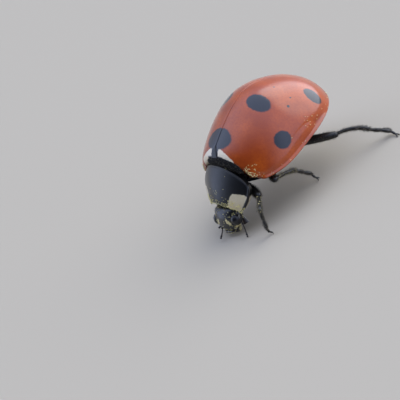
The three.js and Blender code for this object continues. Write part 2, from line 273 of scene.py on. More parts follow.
def make_coat(name, tufts, faces, patch, unwrap, finish, slot, place=None):
    """Many small solids as one piece, each drawn on its own small patch of the skin's unwrap."""
    count, corners = tufts.shape[:2]
    shift = np.arange(count)[:, None, None] * corners
    faces = (np.asarray(faces)[None] + shift).reshape(-1, 3)
    mesh = bpy.data.meshes.new(name)
    mesh.from_pydata(tufts.reshape(-1, 3).tolist(), [], faces.tolist())
    places = (unwrap[:, None] + patch_half * patch[None]).reshape(-1, 2)
    layer = mesh.uv_layers.new(name="OFBake")
    layer.data.foreach_set("uv", places[faces.ravel()].ravel())
    put_in_scene(name, mesh, finish, place)


# A bristle has three points at its root, three half-way up and one at its tip.
third_turns = [turn * 2 * math.pi / 3 for turn in range(3)]
bristle_faces = [(0, 2, 1)]
for low, high in ((0, 1), (1, 2), (2, 0)):
    bristle_faces += [(low, high, high + 3), (low, high + 3, low + 3), (low + 3, high + 3, 6)]


def bristles(name, grids, count, length, half, seed, lean, **where):
    """Tapered three-sided bristles that lean along each grid, spread evenly over all of them."""
    chance = np.random.default_rng(seed)
    size = np.array([np.linalg.norm(np.gradient(g, axis=0), axis=-1).sum() for g in grids])
    found = []
    for number, (grid, some) in enumerate(zip(grids, (count * size / size.sum()).astype(int))):
        roots, out, along, unwrap = scatter(grid, some, chance)
        unwrap[:, 0] = (number + unwrap[:, 0]) / len(grids)
        found.append((roots, out, along, unwrap))
    roots, out, along, unwrap = (np.concatenate(parts) for parts in zip(*found))
    way = unit(out + along * lean + chance.normal(0, 0.2, out.shape))
    reach = length * chance.uniform(0.7, 1.2, (len(roots), 1))
    across = unit(np.cross(way, out + chance.normal(0, 0.01, out.shape)))
    beside = unit(np.cross(way, across))
    turns = [across * math.cos(a) + beside * math.sin(a) for a in third_turns]
    base = [roots - out * half + turn * half for turn in turns]
    middle = [roots + way * reach * 0.55 + out * reach * 0.04 + turn * half * 0.7 for turn in turns]
    tip = roots + way * reach + along * reach * 0.08
    tufts = np.stack([*base, *middle, tip], axis=1)
    circle = np.array([(math.cos(a), math.sin(a)) for a in third_turns])
    patch = np.concatenate([circle, circle * 0.5, [(0, 0)]])
    make_coat(name, tufts, bristle_faces, patch, unwrap, bristle_horn, **where)


# Least and greatest half width of a grain.
pollen_half_widths = (0.011, 0.02)


def grain():
    """One rounded grain of unit size, as points and triangles."""
    ball = bmesh.new()
    bmesh.ops.create_icosphere(ball, subdivisions=2, radius=1)
    points = np.array([vertex.co for vertex in ball.verts])
    faces = [[vertex.index for vertex in face.verts] for face in ball.faces]
    ball.free()
    return points, faces


def dust(name, grid, count, seed, weight=1.0, **where):
    """Grains of pollen stuck to a grid of points, thickest where the weight is greatest."""
    chance = np.random.default_rng(seed)
    roots, out, _, unwrap = scatter(grid, count, chance, weight)
    points, faces = grain()
    half = chance.uniform(*pollen_half_widths, (count, 1, 1))
    uneven = chance.uniform(0.8, 1.1, (count, 1, 3))
    tufts = (roots + out * half[:, 0] * 0.5)[:, None] + points[None] * half * uneven
    make_coat(name, tufts, faces, points[:, :2], unwrap, pollen, "cuticle", **where)


def through(xs, ys, x):
    """A smooth curve through a few points, read at x. The slopes are those of the chords."""
    xs = np.asarray(xs, float)
    ys = np.asarray(ys, float)
    chord = np.diff(ys, axis=0) / np.diff(xs).reshape(-1, *[1] * (ys.ndim - 1))
    slope = np.concatenate([chord[:1], (chord[:-1] + chord[1:]) / 2, chord[-1:]])
    i = np.clip(np.searchsorted(xs, x, side="right") - 1, 0, len(xs) - 2)
    wide = (xs[i + 1] - xs[i]).reshape(-1, *[1] * (ys.ndim - 1))
    s = ((x - xs[i]) / (xs[i + 1] - xs[i])).reshape(wide.shape)
    rise = ys[i + 1] - ys[i]
    lean = slope[i] * wide
    fall = slope[i + 1] * wide
    return ys[i] + s * lean + s * s * (3 * rise - 2 * lean - fall) + s**3 * (lean + fall - 2 * rise)


def lip(edge, radius):
    """How far a rounded edge has sunk at a distance from that edge."""
    inside = np.clip(radius - edge, 0, radius)
    return radius - np.sqrt(radius**2 - inside**2)


def hump(x, middle, half):
    """A smooth hump: 1 at the middle, and gone within about two half widths of it."""
    return np.exp(-(((x - middle) / half) ** 2))


def eased(count, slowness, low=0.0, high=1.0):
    """Values from low to high that crowd together at both ends."""
    v = np.linspace(0, 1, count)
    return low + (high - low) * (v - slowness * np.sin(2 * np.pi * v) / (2 * np.pi))


def once_round(count):
    """Evenly spaced angles round a ring, as one row."""
    return np.linspace(0, 2 * math.pi, count, endpoint=False)[None, :]


class Limb:
    """A rounded rod along a path. Flat is its thickness towards that side as a share of its width."""

    def __init__(self, path, radii, flat=1.0, side=(0, 0, 1)):
        self.path = np.asarray(path, float)
        self.radii = np.asarray(radii, float)
        self.flat = flat
        along = unit(np.gradient(self.path, axis=0))
        self.across = unit(np.cross(along, side))
        self.up = np.cross(self.across, along)

    def grid(self, around=18):
        """Rings of points round the rod."""
        turn = once_round(around)[..., None]
        out = self.across[:, None] * np.cos(turn) + self.up[:, None] * np.sin(turn) * self.flat
        return self.path[:, None] + out * self.radii[:, None, None]


def lofted(*grids):
    """One shape with a closed form for each grid of rings."""
    shape = Shape()
    for rings in grids:
        shape.loft(rings)
    return shape


def rounded_rod(a, b, profile, bow=(0, 0, 0), rings=40, **shape):
    """A limb from a to b. The profile lists shares of the length and half thicknesses."""
    a, b, bow = (np.asarray(p, float) for p in (a, b, bow))
    share = eased(rings, 0.8)
    s = share[:, None]
    path = a + (b - a) * s + bow * 4 * s * (1 - s)
    shares, radii = zip(*profile)
    radius = through(shares, radii, share)
    length = np.linalg.norm(b - a)
    for edge, end in ((share, radii[0]), (1 - share, radii[-1])):
        reach = np.clip(edge * length / max(end, 1e-3), 0, 1)
        radius = radius * np.sqrt(np.clip(1 - (1 - reach) ** 2, 1e-4, 1))
    return Limb(path, radius, **shape)


# Finishes


def tone(code):
    """An sRGB hex colour as linear red, green, blue and alpha."""
    channels = [int(code[i : i + 2], 16) / 255 for i in (1, 3, 5)]
    linear = [c / 12.92 if c <= 0.04045 else ((c + 0.055) / 1.055) ** 2.4 for c in channels]
    return (*linear, 1.0)


def node(tree, kind, feeds=None, output=0, **settings):
    """Adds a shader node with its settings and with what feeds its inputs, and gives one output."""
    made = tree.nodes.new(f"ShaderNode{kind}")
    for key, value in settings.items():
        setattr(made, key, value)
    for socket, source in (feeds or {}).items():
        if isinstance(source, bpy.types.NodeSocket):
            tree.links.new(source, made.inputs[socket])
        else:
            made.inputs[socket].default_value = source
    return made.outputs[output] if made.outputs else None


def new_finish(name):
    """An empty material, its nodes, and the place on the piece in the piece's own millimetres."""
    material = bpy.data.materials.new(name)
    material.use_nodes = True
    tree = material.node_tree
    tree.nodes.clear()
    return material, tree, node(tree, "TexCoord", output="Object")


def coloured(material, colour, height=None, depth=0.0, **inputs):
    """Gives a material its shader, raised by depth in millimetres where height is 1."""
    tree = material.node_tree
    feeds = {key.replace("_", " "): value for key, value in inputs.items()}
    feeds["Base Color"] = colour
    if height is not None:
        normal = node(tree, "Bump", {"Height": height, "Distance": depth * MILLIMETRE, "Strength": 1.0})
        feeds["Normal"] = normal
        if "Coat Weight" in feeds:
            feeds["Coat Normal"] = normal
    node(tree, "OutputMaterial", {"Surface": node(tree, "BsdfPrincipled", feeds)})
    return material


def mottled(tree, place, size, dark, light):
    """Two tones in soft blotches of that size in millimetres."""
    noise = node(tree, "TexNoise", {"Vector": place, "Scale": 1 / size, "Detail": 2.0})
    return node(tree, "Mix", {0: noise, 6: tone(dark), 7: tone(light)}, 2, data_type="RGBA")


def clouds(tree, place, size, low, high, most=1.0):
    """Clouds of that size in millimetres, from 0 where the noise is low to most where it is high."""
    noise = node(tree, "TexNoise", {"Vector": place, "Scale": 1 / size, "Detail": 2.0})
    return node(tree, "MapRange", {0: noise, 1: low, 2: high, 4: most}, interpolation_type="SMOOTHSTEP")


def pits(tree, place, spacing, width):
    """1 between the punctures of the cuticle and 0 in them; width is a share of the spacing."""
    cells = node(tree, "TexVoronoi", {"Vector": place, "Scale": 1 / spacing})
    return node(tree, "MapRange", {0: cells, 1: 0.0, 2: width}, interpolation_type="SMOOTHSTEP")


def oval(tree, place, centre, half_axes, soft):
    """1 inside an oval round a centre and 0 outside, with an edge that is soft by that share."""
    shares = [0 if half is None else 1 / half for half in half_axes]
    away = node(tree, "VectorMath", {0: place, 1: centre}, operation="SUBTRACT")
    scaled = node(tree, "VectorMath", {0: away, 1: shares}, operation="MULTIPLY")
    reach = node(tree, "VectorMath", {0: scaled}, "Value", operation="LENGTH")
    return node(tree, "MapRange", {0: reach, 1: 1 + soft, 2: 1 - soft}, interpolation_type="SMOOTHSTEP")


def bounded(tree, place, lines, soft=0.02):
    """1 inside some straight lines; each line gives its outward direction in x and y, and its reach."""
    inside = 1.0
    for across, along, reach in lines:
        far = node(tree, "VectorMath", {0: place, 1: (across, along, 0)}, "Value", operation="DOT_PRODUCT")
        limits = {0: far, 1: reach + soft, 2: reach - soft}
        side = node(tree, "MapRange", limits, interpolation_type="SMOOTHSTEP")
        inside = node(tree, "Math", {0: inside, 1: side}, operation="MULTIPLY")
    return inside


def any_of(tree, masks):
    """The greatest of some masks."""
    greatest = 0.0
    for mask in masks:
        greatest = node(tree, "Math", {0: greatest, 1: mask}, operation="MAXIMUM")
    return greatest


def ragged(tree, place, size, reach):
    """The place, shaken by noise of that size, so that the edge of a marking isn't a clean curve."""
    noise = node(tree, "TexNoise", {"Vector": place, "Scale": 1 / size, "Detail": 2.0}, "Color")
    middle = node(tree, "VectorMath", {0: noise, 1: (0.5, 0.5, 0.5)}, operation="SUBTRACT")
    shaken = node(tree, "VectorMath", {0: middle, 1: (reach, reach, reach)}, operation="MULTIPLY")
    return node(tree, "VectorMath", {0: place, 1: shaken}, operation="ADD")


def mirrored(tree, place):
    """The place with its distance from the midline in place of x, so that both sides match."""
    x, y, z = node(tree, "SeparateXYZ", {0: place}).node.outputs
    from_midline = node(tree, "Math", {0: x}, operation="ABSOLUTE")
    return node(tree, "CombineXYZ", {0: from_midline, 1: y, 2: z})


# Spots of one wing case: centre, then half lengths across, along and up.
case_spots = (
    ((1.12, 2.49, 2.18), (0.6, 0.39, 0.6)),
    ((2.33, 1.8, 0.81), (0.385, 0.4, 0.385)),
    ((1.9, 4.35, 0.855), (0.457, 0.295, 0.457)),
)

# Small dark pits on the left wing case: centre and half width.
dots = (((1.95, 3.1, 1.45), 0.065), ((1.04, 3.56, 2.05), 0.04), ((1.76, 3.51, 1.53), 0.04))

# The spot that both cases share round the scutellum, and the neck that it is drawn out to.
shared_spot = ((0, 0.575, 0), (0.75, 0.438, None))
spot_neck = ((1, 0, 0.22), (0, 1, 0.25))

# Ivory patch at the root of each case, and the black edge in front of it.
base_patch = ((0.287, 0.958, 0.272), (1, 0, 1.05))
base_edge = ((0, 1, -0.05), (1, 0, 0.5))

# Ivory patch at each front corner of the shield, and beside each middle leg.
corner_patch = (
    (0, 1, -1.08),
    (-0.67, 0.742, -1.488),
    (-0.9, 0.436, -1.315),
    (0.827, -0.562, 2.0),
    (0.72, 0.69, 0.36),
)
leg_patch = ((1.62, 0.78, 0), (0.3, 0.24, None))

# The mark between the eyes, as three ovals that run together, and the cheek.
face_marks = (
    ((0.29, 0.12, 0), (0.06, 0.07, None)),
    ((0.33, 0.03, 0), (0.09, 0.07, None)),
    ((0.41, -0.05, 0), (0.06, 0.08, None)),
    ((0.59, -0.27, 0.14), (0.12, 0.09, 0.2)),
)
jaw_root = ((-1, 0, -0.44),)


def wing_case_finish():
    """Chitin with its own wax: saturated orange-red under a clear gloss that takes the sky.

    Its punctures are finer than a hair in life, and are drawn 0.11 mm apart so that they show.
    """
    material, tree, place = new_finish("wing_case_chitin")
    fold = mirrored(tree, place)
    shaken = ragged(tree, fold, 0.14, 0.07)
    cloud = clouds(tree, place, 1.1, 0.3, 0.7)
    fine = clouds(tree, place, 0.09, 0.35, 0.7, most=0.35)
    ivory = bounded(tree, shaken, base_patch)
    black = [oval(tree, shaken, centre, size, 0.09) for centre, size in case_spots]
    black += [oval(tree, shaken, *shared_spot, 0.08), bounded(tree, shaken, spot_neck)]
    black += [bounded(tree, fold, base_edge)]
    black += [oval(tree, place, centre, (half, half, half), 0.3) for centre, half in dots]
    colour = tone("#9A3C08")
    layers = ((cloud, "#B44E0C"), (fine, "#8C3008"), (ivory, "#F2E2C6"), (any_of(tree, black), "#0C111F"))
    for mask, code in layers:
        colour = node(tree, "Mix", {0: mask, 6: colour, 7: tone(code)}, 2, data_type="RGBA")
    skin = {"Roughness": 0.35, "IOR": 1.5, "Specular_IOR_Level": 0.2}
    gloss = {"Coat_Weight": 0.9, "Coat_Roughness": 0.08, "Coat_IOR": 1.5}
    return coloured(material, colour, pits(tree, place, 0.11, 0.22), 0.003, **skin, **gloss)


def shield_finish():
    """Black chitin with a fine net of lines, and an ivory patch at each front corner."""
    material, tree, place = new_finish("shield_chitin")
    patch = bounded(tree, mirrored(tree, ragged(tree, place, 0.12, 0.06)), corner_patch)
    ivory = mottled(tree, place, 0.2, "#D2C29E", "#E2D5B8")
    colour = node(tree, "Mix", {0: patch, 6: tone("#070709"), 7: ivory}, 2, data_type="RGBA")
    wax = {"Specular_IOR_Level": 0.25, "Coat_Weight": 0.35, "Coat_Roughness": 0.2}
    return coloured(material, colour, pits(tree, place, 0.07, 0.5), 0.002, Roughness=0.38, IOR=1.56, **wax)


thin_wax = {"IOR": 1.56, "Specular_IOR_Level": 0.3, "Coat_Weight": 0.3, "Coat_Roughness": 0.2}


def trunk_finish():
    """Black chitin of the scutellum and the trunk, with an ivory patch beside each middle leg."""
    material, tree, place = new_finish("black_chitin")
    black = mottled(tree, place, 0.5, "#09090B", "#15131A")
    patch = oval(tree, mirrored(tree, ragged(tree, place, 0.12, 0.06)), *leg_patch, 0.1)
    colour = node(tree, "Mix", {0: patch, 6: black, 7: tone("#DDD0B0")}, 2, data_type="RGBA")
    return coloured(material, colour, pits(tree, place, 0.09, 0.35), 0.004, Roughness=0.4, **thin_wax)


def head_finish():
    """Black chitin with an ivory mark beside each eye and an ivory cheek."""
    material, tree, place = new_finish("head_chitin")
    fold = mirrored(tree, ragged(tree, place, 0.08, 0.05))
    marks = any_of(tree, [oval(tree, fold, centre, size, 0.2) for centre, size in face_marks])
    colour = node(tree, "Mix", {0: marks, 6: tone("#08080B"), 7: tone("#E2D39A")}, 2, data_type="RGBA")
    wax = {"Specular_IOR_Level": 0.35, "Coat_Weight": 0.5, "Coat_Roughness": 0.15}
    return coloured(material, colour, pits(tree, place, 0.06, 0.4), 0.003, Roughness=0.35, IOR=1.56, **wax)


horn = {"Roughness": 0.35, "IOR": 1.56, "Coat_Weight": 0.3, "Coat_Roughness": 0.2}


def jaw_finish():
    """Jaws: ivory at the root, brown towards the teeth."""
    material, tree, place = new_finish("jaw_horn")
    root = bounded(tree, mirrored(tree, ragged(tree, place, 0.06, 0.05)), jaw_root, 0.04)
    colour = node(tree, "Mix", {0: root, 6: tone("#150D09"), 7: tone("#BFB284")}, 2, data_type="RGBA")
    bumps = node(tree, "TexNoise", {"Vector": place, "Scale": 1 / 0.04, "Detail": 3.0})
    return coloured(material, colour, bumps, 0.004, **horn)


def neck_and_gap_shade_finish():
    """Dull black skin of the neck, between the shield and the wing cases; the black is partly its own
    colour and partly painted shade of the gap there.
    """
    material, tree, place = new_finish("neck_and_gap_shade")
    noise, wrinkles = (
        node(tree, "TexNoise", {"Vector": place, "Scale": 1 / size, "Detail": 3.0}) for size in (0.1, 0.06)
    )
    colour = node(tree, "Mix", {0: noise, 6: tone("#060607"), 7: tone("#141211")}, 2, data_type="RGBA")
    return coloured(material, colour, wrinkles, 0.01, Roughness=0.7, IOR=1.45, Specular_IOR_Level=0.2)


def two_toned(name, size, dark, light, bump=None, depth=0.0, **inputs):
    """A finish in soft blotches of two tones, with bumps of one size and depth in millimetres."""
    material, tree, place = new_finish(name)
    height = bump and node(tree, "TexNoise", {"Vector": place, "Scale": 1 / bump, "Detail": 3.0})
    return coloured(material, mottled(tree, place, size, dark, light), height, depth, **inputs)


wing_case_chitin = wing_case_finish()
shield_chitin = shield_finish()
black_chitin = trunk_finish()
head_chitin = head_finish()
jaw_horn = jaw_finish()
neck_and_gap_shade = neck_and_gap_shade_finish()

# Brown-black leg chitin, a little waxy, and rough with small bumps.
leg_chitin = two_toned("leg_chitin", 0.25, "#080707", "#15110F", 0.05, 0.006, Roughness=0.42, **thin_wax)

# Horny brown of the feelers, palps and upper lip, in two tones.
mouth_horn = two_toned("mouth_horn", 0.15, "#120D0B", "#2E1E14", 0.04, 0.004, **horn)

# Compound eye: black lenses with a dull shine.
eye_shine = {"Specular_IOR_Level": 0.3, "Coat_Weight": 0.4, "Coat_Roughness": 0.1}
eye_lenses = two_toned("eye_lenses", 0.2, "#08080A", "#17151C", Roughness=0.25, IOR=1.5, **eye_shine)

# Fine bristles of greyish horn, thicker than life so that they show.
bristle_horn = two_toned("bristle_horn", 0.3, "#4E463B", "#857B68", Roughness=0.4, IOR=1.55)

# Grains of pollen: a dull, dense yellow.
pollen = two_toned("pollen", 0.08, "#DCCB5C", "#F6EFC8", Roughness=0.75, IOR=1.45)


# Wing cases and trunk


def case_half_width_at(t):
    ahead = np.clip(1 - t / widest_at, 0, None) ** front_width_curve * (1 - front_width_ratio**2)
    behind = np.clip((t - widest_at) / (1 - widest_at), 0, None) ** rear_width_curve
    return case_half_width * np.sqrt(np.clip(1 - ahead - behind, 0, None))


def case_height_at(t):
    ahead = np.clip(1 - t / highest_at, 0, None) ** 2 * (1 - front_height_ratio**2)
    back = np.clip((t - highest_at) / (1 - highest_at), 0, None)
    behind = back**2 * (1 + rear_height_curve) / (back + rear_height_curve)
    return case_height * np.sqrt(np.clip(1 - ahead - behind, 0, None))


def rim_at(t):
    """The rim sags under the flank and lifts towards the shoulder."""
    return rim_lift * hump(t, 0, rim_lift_reach) - rim_sag * hump(t, rim_sag_at, rim_sag_reach)


def shouldered(t, f):
    """The share of the length, set back at the outer front corners so that the shoulders are round."""
    corner = shoulder * np.clip((np.abs(f) - shoulder_start) / (1 - shoulder_start), 0, None) ** 2
    return corner + (1 - corner) * t


def roll_at(t, f):
    """How far the front edge rolls forward at the shoulder."""
    across = hump(np.abs(f), shoulder_roll_at, shoulder_roll_width)
    return shoulder_roll * across * np.exp(-t / shoulder_roll_fade)


def case_point(t, f, inset=0.0):
    """A point of the wing cases at share t of their length and share f of their half width."""
    roll = roll_at(t, f)
    t, f, inset, roll = np.broadcast_arrays(shouldered(t, f), f, inset, roll)
    section = np.clip(1 - f**2, 0, None) ** cross_curve
    x = case_half_width_at(t) * f * (1 - inset / case_half_width)
    y = case_front + (case_length - inset) * t
    z = case_height_at(t) * section * (1 - inset / case_height) + rim_at(t)
    return np.stack([x, y - roll, z - shoulder_roll_fall * roll], axis=-1)


def scutellum_half_at(y):
    return scutellum_half * (scutellum_tip - y) / (scutellum_tip - scutellum_front)


def share_at_height(t, height):
    """The share of the half width at which the section stands that high over the rim."""
    low = height / np.maximum(case_height_at(t), height)
    return np.sqrt(1 - low ** (1 / cross_curve))


def wing_case(side):
    """A thin domed shell with a flared margin, whose edge folds inward underneath.

    Returns the shape and its upper face, with the shares of length and half width there.
    """
    front_rows = np.linspace(0, 0.02, 9)[:-1]
    t = np.concatenate([front_rows, 1 - (1 - np.linspace(0.011, 0.995, 150)) ** 1.8])[:, None]
    back = case_length * t
    half = case_half_width_at(t)
    inner_x = np.maximum(suture_gap / 2, scutellum_half_at(case_front + back) + 0.02)
    start = np.arcsin(np.clip(inner_x / np.maximum(half, inner_x), 0, 1))

    def dome(low, columns):
        end = np.arcsin(share_at_height(t, low))
        turn = start + (np.maximum(end, start) - start) * eased(columns, 0.85)[None, :]
        return np.sin(turn)

    def grid(f, inset, rise=0.0):
        points = case_point(t, f, inset)
        points[..., 2] += rise
        points[..., 0] *= side
        return points

    front = lip(back, front_rounding)
    outer_f = dome(margin_bead, 110)
    height = case_height_at(t) * np.clip(1 - outer_f**2, 0, None) ** cross_curve
    raised = height - margin_bead
    fade = 1 / (1 + (t / margin_end) ** 14)
    flare = margin_flare * np.tanh(raised / margin_turn) * np.exp(-raised / margin_fall) * fade
    top = grid(outer_f, flare + front + lip(outer_f * half - inner_x, seam_rounding))
    turn = np.linspace(0, math.pi / 2, 7)[None, 1:]
    edge = grid(1.0, margin_bead * (1 - np.cos(turn)) + front, margin_bead * (1 - np.sin(turn)))
    fold = np.minimum(fold_width, 0.75 * half)
    share = np.linspace(0, 1, 9)[None, 1:]
    inward = margin_bead + (fold - margin_bead) * share
    under = grid(1.0, inward + front, 0.03 * np.sin(math.pi * share))
    wall = shell + (front_lip - shell) * hump(back, 0, front_rounding)
    inner_f = dome(fold_height, 110)
    ceiling = grid(inner_f, wall + 0 * inner_f)
    share = np.linspace(0, 1, 15)[None, 1:]
    floor = grid(1.0, wall + (np.maximum(fold, wall) - wall) * share, fold_height + 0 * share)
    shape = Shape()
    shape.plate(np.concatenate([top, edge, under], axis=1), np.concatenate([ceiling, floor], axis=1))
    return shape, top, t, outer_f


def belly_at(t):
    """How far the belly hangs below the rim."""
    away = np.abs(t - belly_deepest) / belly_reach
    return belly_depth * np.sqrt(np.clip(1 - away**3, 0, None))


def trunk_slice(first, last):
    """A length of the trunk: under the wing cases its back follows them, and its belly bulges."""
    across = np.sin(np.linspace(-1, 1, 61) * math.pi / 2)
    t = np.linspace(first, last, max(6, int((last - first) * 120)))[:, None]
    length = (last - first) * case_length
    edge = np.minimum(t - first, last - t) * case_length
    sunk = lip(edge, min(0.05, length / 2))
    back = case_point(t, across, trunk_inset + sunk)
    returning = across[None, 1:-1][:, ::-1]
    belly = case_point(t, returning, trunk_inset + sunk)
    belly[..., 2] = rim_at(t) - (belly_at(t) - sunk) * np.sqrt(1 - returning**2)
    rings = np.concatenate([back, belly], axis=1)
    rings[..., 0] *= 1 - trunk_waist * hump(t, 0, trunk_waist_length)
    return lofted(rings)


def collar():
    """The fold of the mesonotum that closes the slope between the shield and the wing cases; its dull
    black also stands as painted shade of the gap there.
    """
    f = np.linspace(collar_start, collar_end, 90)
    path = case_point(0 * f, f) - collar_sunk
    reach = (collar_end - collar_start) / 2 + 0.005
    half = collar_half * np.sqrt(np.clip(1 - (np.abs(f - f.mean()) / reach) ** 6, 0.001, None))
    return Limb(path, half, flat=0.5, side=(0, -0.91, 0.41)).grid(28)


def belly_grid():
    """The underside of the trunk, between its rims."""
    t = np.linspace(0.1, 0.97, 90)[:, None]
    across = np.linspace(-0.92, 0.92, 61)[None, :]
    grid = case_point(t, across, trunk_inset)
    grid[..., 2] = rim_at(t) - belly_at(t) * np.sqrt(1 - across**2)
    return grid


def squared(wave):
    """A sine or cosine with flatter crests, for a ring with rounded corners."""
    return np.sign(wave) * np.abs(wave) ** 0.4


def scutellum():
    """A small triangle of black chitin with rounded edges, level with the wing cases round it."""
    y = np.concatenate([[scutellum_front], np.linspace(scutellum_front + 0.01, scutellum_tip, 24)])
    half = scutellum_half_at(y) + 0.012
    level = case_point((y - case_front) / case_length, 0 * y)[:, 2] + 0.005
    turn = once_round(40)
    x = half[:, None] * squared(np.cos(turn))
    z = (level - scutellum_thickness)[:, None] + scutellum_thickness * squared(np.sin(turn))
    return lofted(np.stack([x, y[:, None] + 0 * x, z], axis=-1))


collar_grid = collar()
case_skins = {}
for name, side in sides.items():
    shape, *case_skins[name] = wing_case(side)
    make_piece(f"wing_case_{name}", shape, wing_case_chitin, [f"elytron_{name}"])
make_piece("scutellum_plate", scutellum(), black_chitin, ["scutellum"])
# The collar's dull black is partly the mesonotum's own black and partly painted shade in the gap between
# the shield and the wing cases.
make_piece("collar", lofted(collar_grid), neck_and_gap_shade)

trunk_cuts = {"mesothorax": (0, 0.1), "metathorax": (0.104, 0.4)}
belly_cuts = (0.404, 0.57, 0.68, 0.78, 0.88, 1.0)
for number, (first, last) in enumerate(zip(belly_cuts, belly_cuts[1:]), 1):
    trunk_cuts[f"abdomen_{number}"] = (first, last - 0.004)
for name, (first, last) in trunk_cuts.items():
    make_piece(f"{name}_plate", trunk_slice(first, last), black_chitin, [name])


# Shield and prosternum


def shield_point(f, s, depth):
    """Across the shield by f, from hind to front edge by s, and down into it by depth."""
    narrowing = 1 - shield_front_half_width / shield_half_width
    front = np.clip((s - shield_widest_at) / (1 - shield_widest_at), 0, None) ** 1.7
    hind = np.clip(1 - s / shield_widest_at, 0, None) ** 2
    half = shield_half_width * (1 - narrowing * front - 0.06 * hind)
    a = np.abs(f)
    rear = shield_hind_corner * a**2.2
    fore = shield_length + (shield_front_corner - shield_length) * a**2.4
    crown = shield_crown * 4 * s * (1 - s)
    drop = (crown + shield_edge_drop) * a * a
    x = f * (half - 0.45 * depth)
    forward = rear + (fore - rear) * s + 0.25 * depth * (0.5 - s)
    return np.stack([x, -forward, crown - drop - depth * (1 - 0.4 * a)], axis=-1)


def shield():
    """A broad curved plate with rounded corners and a fine bead round its sides and hind edge."""
    f = eased(121, 0.8, -1, 1)[None, :]
    v = eased(81, 0.8)[:, None]
    cut = lip(np.clip(1 - np.abs(f), 0, shield_corner), shield_corner) * 0.8
    s = cut + (1 - 2 * cut) * v
    edge = 1.5 * np.minimum(1 - np.abs(f), np.minimum(v, 1 - v))
    relief = shield_bead * hump(edge, 0.04, bead_half) - shield_groove * hump(edge, 0.085, bead_half)
    outer = shield_point(f, s, lip(edge, 0.05) - relief)
    inner = shield_point(f, s, shield_wall)
    shape = Shape()
    shape.plate(outer, inner)
    return shape


def forebody():
    """The prosternum: the rounded underside between the front legs."""
    y = -np.sin(np.linspace(-1, 1, 40) * math.pi / 2)[:, None] * 0.998
    turn = once_round(56)
    x = np.sqrt(1 - y**2) * np.cos(turn)
    z = np.sqrt(1 - y**2) * np.sin(turn)
    rings = prosternum_centre + np.stack([x, y + 0 * x, z], axis=-1) * prosternum_half_axes
    rings[..., 2] -= keel_height * hump(rings[..., 0], 0, keel_half) * (np.sin(turn) < 0)
    return lofted(rings)


make_piece("shield", shield(), shield_chitin, ["pronotum"], in_shield)
make_piece("prosternum_plate", forebody(), black_chitin, ["prosternum"], in_shield)


# Head. Rings down the face: distance down, half width, front and back.

head_rings = (
    (-0.62, 0.40, 0.10, -0.22),
    (-0.52, 0.62, 0.28, -0.34),
    (-0.30, 0.74, 0.41, -0.40),
    (-0.05, 0.76, 0.47, -0.40),
    (0.16, 0.68, 0.47, -0.32),
    (0.30, 0.54, 0.43, -0.18),
    (0.41, 0.38, 0.37, -0.02),
)


def head_capsule_grid():
    """Rings of points down the head, rounded in at the neck and at the mouth."""
    table = np.array(head_rings)
    down = eased(60, 0.6, table[0, 0], table[-1, 0])
    half, front, back = through(table[:, 0], table[:, 1:], down).T[:, :, None]
    ends = np.minimum(down - down[0], down[-1] - down)[:, None]
    close = 1 - lip(ends, 0.06) / 0.12
    turn = once_round(96)
    depth = (front - back) / 2
    bulge = np.sign(np.sin(turn)) * np.abs(np.sin(turn)) ** 0.85
    x = half * np.cos(turn) * close
    out = (front + back) / 2 + depth * bulge * close
    return np.stack([x, -down[:, None] + 0 * x, out], axis=-1)


def compound_eye(side):
    """An oval bulge of small lenses packed in rows of six neighbours."""
    tilt = eased(130, 0.3, -math.pi / 2, math.pi / 2)[1:-1, None]
    turn = once_round(180)
    y = np.sin(tilt) + 0 * turn
    z = np.cos(tilt) * np.sin(turn)
    ball = np.stack([np.cos(tilt) * np.cos(turn), y, z], axis=-1)
    across = np.arcsin(np.clip(z, -1, 1)) * math.pi / lens_angle_across
    along = np.arcsin(np.clip(y, -1, 1)) * math.pi / lens_angle_along * math.sqrt(3)
    lens = np.cos(2 * across) + np.cos(across + along) + np.cos(across - along)
    swell = 1 + 0.004 * lens[..., None]
    return lofted((eye_centre + ball * eye_half_axes * swell) * (side, 1, 1))


def upper_lip():
    """A short plate across the foot of the face."""
    ends = [(-0.32, -0.47, 0.3), (0.32, -0.47, 0.3)]
    return rounded_rod(*ends, [(0, 0.1), (0.5, 0.14), (1, 0.1)], flat=0.55, side=(0, 1, 0))


def mandible(side):
    """One jaw: a short horn that bends in towards the other under the lip."""
    ends = [(side * 0.5, -0.33, 0.04), (side * 0.12, -0.58, 0.18)]
    profile = [(0, 0.07), (0.4, 0.1), (1, 0.03)]
    return lofted(rounded_rod(*ends, profile, bow=(side * 0.06, -0.05, 0), flat=0.6).grid(20))


def beads(path, joints):
    """Grids of bead-like joints along a smooth path; a joint gives its length and half thickness."""
    lengths = np.array([length for length, _ in joints])
    ends = np.concatenate([[0], np.cumsum(lengths)]) / lengths.sum()
    knots = np.linspace(0, 1, len(path))
    along = np.linspace(0, 1, 13)
    pear = 0.55 + 0.45 * np.sin(math.pi * along**0.8)
    rounded = np.sin(math.pi * np.clip(along, 0.03, 0.97)) ** 0.25
    grids = []
    for (_, half), low, high in zip(joints, ends, ends[1:]):
        points = through(knots, path, np.linspace(low, high, 13))
        grids.append(Limb(points, half * pear * rounded).grid(14))
    return grids


